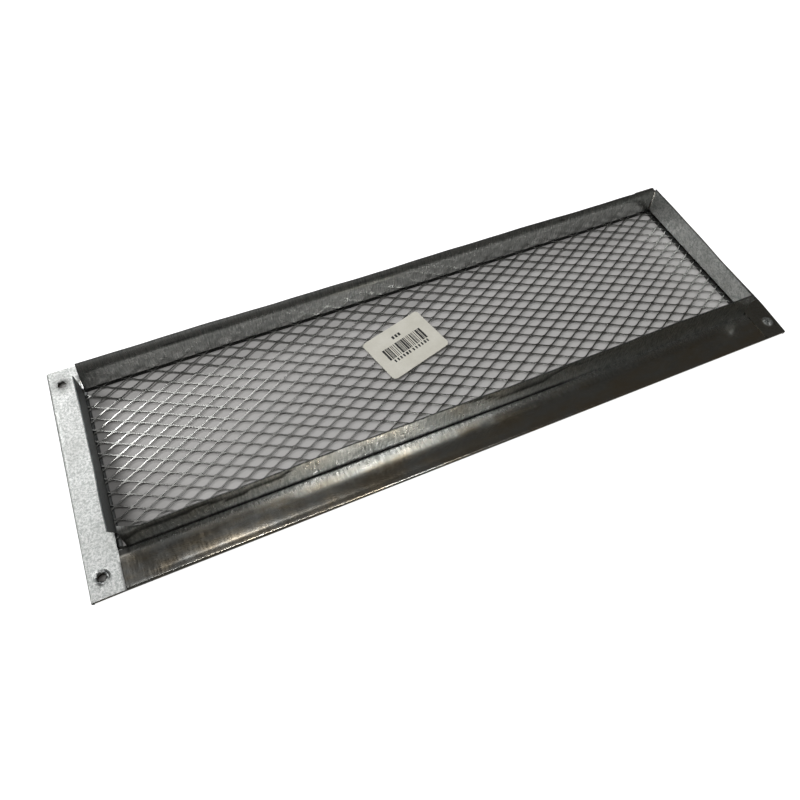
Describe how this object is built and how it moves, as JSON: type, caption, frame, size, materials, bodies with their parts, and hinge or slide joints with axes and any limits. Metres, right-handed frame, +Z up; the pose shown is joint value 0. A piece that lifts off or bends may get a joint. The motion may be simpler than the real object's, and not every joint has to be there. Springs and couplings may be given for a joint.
{
  "type": "screened wall vent",
  "caption": "Rectangular screened vent: flat nailing flange, upright collar round the opening and an expanded-metal screen across it, in galvanised sheet.",
  "frame": {"origin": "centre of the bounding box on its bottom face, the plane the flange lies on", "axes": "+X along the long side, +Y from the front rail to the rear rail, +Z up the collar"},
  "size_m": [0.3744, 0.1222, 0.0185],
  "materials": {
    "galvanised_sheet": "dull zinc-coated sheet, faintly mottled",
    "galvanised_mesh": "zinc-coated expanded metal",
    "label_paper": "matte cream paper with dark printed bars"
  },
  "bodies": {
    "root": {"front_rail": "galvanised_sheet", "rear_rail": "galvanised_sheet", "left_end_rail": "galvanised_sheet", "right_end_rail": "galvanised_sheet", "expanded_metal_screen": "galvanised_mesh", "paper_label": "label_paper"}
  },
  "joints": []
}
